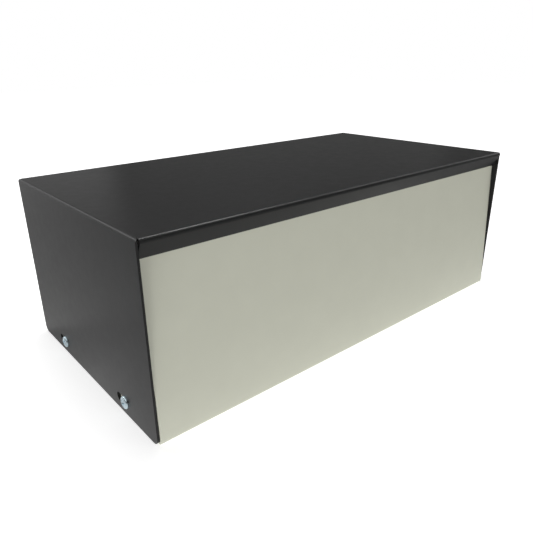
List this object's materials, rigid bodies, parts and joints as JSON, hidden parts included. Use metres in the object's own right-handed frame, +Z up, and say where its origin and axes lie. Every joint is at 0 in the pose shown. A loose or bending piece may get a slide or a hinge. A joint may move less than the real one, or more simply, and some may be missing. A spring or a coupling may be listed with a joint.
{
  "type": "steel instrument enclosure",
  "caption": "Two-piece folded steel instrument case: black cover with leaning front and rear lips over a pale chassis with blank panels, held by side screws in slots.",
  "frame": {"origin": "on the surface that the case stands on, under the middle of the cover's width and depth", "axes": "+X along the width, to the right as seen from the front; +Y from the front panel to the rear; +Z up"},
  "size_m": [0.2956, 0.1542, 0.1032],
  "materials": {
    "cover_paint": "satin black powder coat on steel sheet",
    "chassis_paint": "satin beige-grey enamel on steel sheet",
    "zinc_plate": "bright zinc plate"
  },
  "bodies": {
    "root": {"cover": "cover_paint", "chassis": "chassis_paint", "screw_front_left": "zinc_plate", "screw_front_right": "zinc_plate", "screw_rear_left": "zinc_plate", "screw_rear_right": "zinc_plate"}
  },
  "joints": []
}
